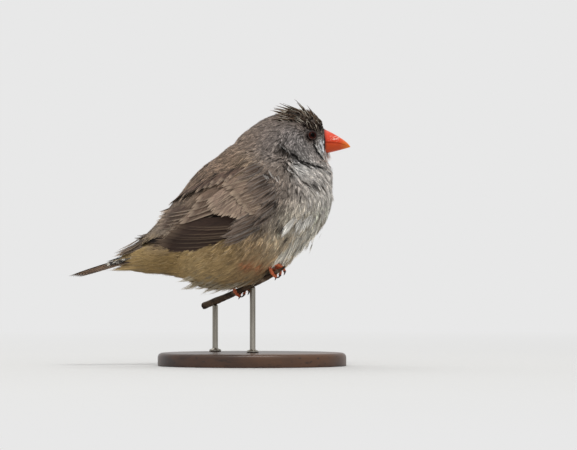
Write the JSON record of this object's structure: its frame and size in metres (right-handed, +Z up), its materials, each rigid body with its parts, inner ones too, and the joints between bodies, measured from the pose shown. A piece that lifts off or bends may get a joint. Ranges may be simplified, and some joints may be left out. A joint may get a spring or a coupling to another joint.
{
  "type": "zebra finch",
  "caption": "Female zebra finch with fluffed plumage and a raised crest, gripping a short twig on a plain rod and base stand.",
  "frame": {"origin": "middle of the underside of the stand's base", "axes": "+X the way the bill points, +Y the bird's left side, +Z up"},
  "size_m": [0.0968, 0.0478, 0.0921],
  "materials": {
    "head": "soft grey feathers",
    "crest": "dark brown raised feathers with pale edges",
    "neck": "soft grey-brown feathers",
    "trunk": "loose grey to cream feathers",
    "rump": "cream feathers",
    "thigh": "cream feathers",
    "coverts": "brown feathers with buff fringes",
    "secondaries": "brown feathers with buff fringes",
    "primaries": "dark brown flight feathers",
    "tail": "blackish brown tail feathers",
    "barred": "black and white barred feathers",
    "bill": "smooth coral-orange horn",
    "eye": "wet dark red-brown",
    "leg": "orange scaled skin",
    "claw": "dark horn",
    "twig": "dry bark",
    "base": "oiled dark hardwood",
    "rod": "satin"
  },
  "bodies": {
    "root": {"head": "head", "crest": "crest", "bill_upper": "bill", "bill_lower": "bill", "eye_left": "eye", "eye_right": "eye", "neck": "neck", "trunk": "trunk", "rump": "rump", "thigh_left": "thigh", "thigh_right": "thigh", "wing_right_coverts": "coverts", "wing_right_secondaries": "secondaries", "wing_right_primaries": "primaries", "wing_left_coverts": "coverts", "wing_left_secondaries": "secondaries", "wing_left_primaries": "primaries", "tail": "tail", "uppertail_coverts": "barred", "shank_left": "leg", "toe_left_middle": "leg", "toe_left_inner": "leg", "toe_left_outer": "leg", "toe_left_hind": "leg", "claw_left_middle": "claw", "claw_left_inner": "claw", "claw_left_outer": "claw", "claw_left_hind": "claw", "shank_right": "leg", "toe_right_middle": "leg", "toe_right_inner": "leg", "toe_right_outer": "leg", "toe_right_hind": "leg", "claw_right_middle": "claw", "claw_right_inner": "claw", "claw_right_outer": "claw", "claw_right_hind": "claw", "twig": "twig", "stand_base": "base", "stand_rod_rear": "rod", "stand_rod_front": "rod"}
  },
  "joints": []
}
